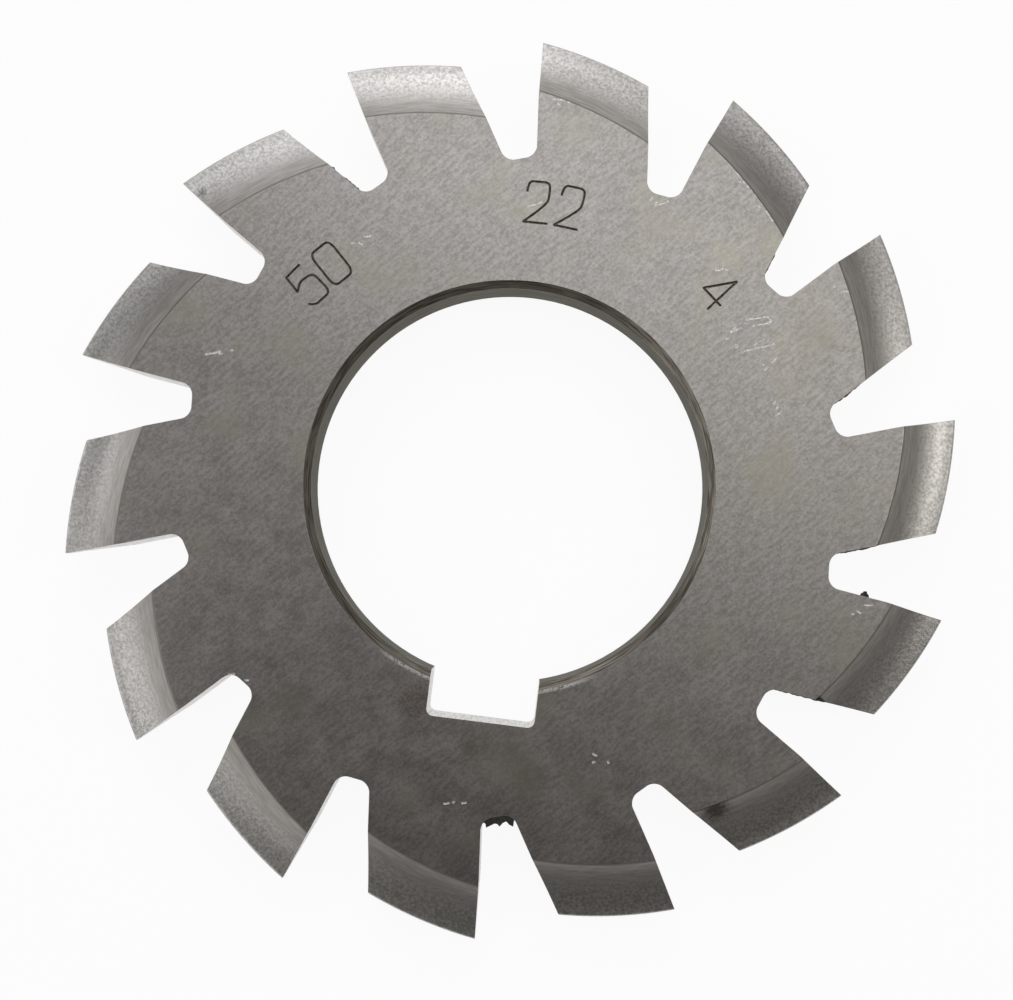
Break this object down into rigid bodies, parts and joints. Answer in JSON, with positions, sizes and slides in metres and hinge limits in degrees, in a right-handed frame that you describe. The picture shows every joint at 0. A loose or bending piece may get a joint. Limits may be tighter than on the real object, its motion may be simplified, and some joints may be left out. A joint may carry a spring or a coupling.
{
  "type": "involute gear cutter",
  "caption": "Flat steel disc with form-relieved teeth round its rim, each shaped like a gear's tooth space, and a keyed bore for a milling arbor; cuts spur gear teeth.",
  "frame": {"origin": "on the bore's axis in the plane of the lower side face, which is also the bottom centre of the bounding box", "axes": "+Z along the bore and up out of the upper side face, -Y through the middle of the keyway, +X square to both"},
  "size_m": [0.0498, 0.0504, 0.004],
  "materials": {
    "ground_steel": "surface-ground side faces, finely grained form-turned flanks"
  },
  "bodies": {
    "root": {"gear_cutter": "ground_steel"}
  },
  "joints": []
}
